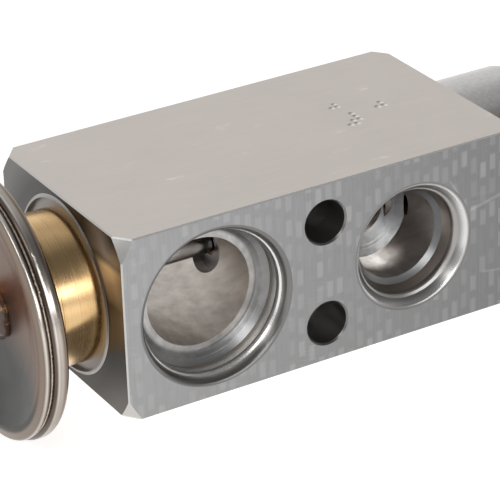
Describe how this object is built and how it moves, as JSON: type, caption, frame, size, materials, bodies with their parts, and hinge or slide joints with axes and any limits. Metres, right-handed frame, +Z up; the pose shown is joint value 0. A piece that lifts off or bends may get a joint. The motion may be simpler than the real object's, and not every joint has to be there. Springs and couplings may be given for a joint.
{
  "type": "thermostatic expansion valve",
  "caption": "Block-type thermostatic expansion valve: aluminium block with stepped refrigerant ports and mounting holes, brass neck and a stainless power head",
  "frame": {"origin": "on the front port face, midway between the two mounting holes, at the height of the valve axis", "axes": "+X runs along the valve axis from the power head to the adjusting screw, +Y goes into the block from the front port face, +Z is up with the block lying on its long flat side"},
  "size_m": [0.1022, 0.0392, 0.0392],
  "materials": {
    "block_aluminium": "milled, with turned end cones and boss",
    "neck_brass": "turned",
    "cover_stainless": "pressed, smooth",
    "weld_bead": "welded, dull",
    "tube_copper": "drawn copper",
    "braze": "brazed, glossy and lumpy",
    "ground_steel": "ground",
    "spring_steel": "drawn wire and sheet",
    "seal_rubber": "moulded"
  },
  "bodies": {
    "valve_body": {"valve_block": "block_aluminium", "power_head_neck": "neck_brass", "head_lower_cover": "cover_stainless", "diaphragm": "cover_stainless", "head_upper_cover": "cover_stainless", "head_rim_weld": "weld_bead", "charge_tube": "tube_copper", "tube_end_seal": "braze", "tube_braze_collar": "braze", "guide_bush": "neck_brass", "lock_washer": "spring_steel", "rod_seal": "seal_rubber", "neck_seal": "seal_rubber", "seat_insert": "ground_steel", "superheat_spring": "spring_steel", "adjusting_screw": "neck_brass", "adjuster_seal": "seal_rubber"},
    "valve_train": {"follower_pad": "neck_brass", "push_rod": "ground_steel", "valve_ball": "ground_steel", "ball_carrier": "neck_brass", "damper_spring": "spring_steel"}
  },
  "joints": [
    {"name": "valve_travel", "type": "slide", "parent": "valve_body", "child": "valve_train", "axis": [1, 0, 0], "range_m": [0, 0.0008], "stiffness_N_per_m": 2000, "deforming": ["superheat_spring", "diaphragm"]}
  ]
}
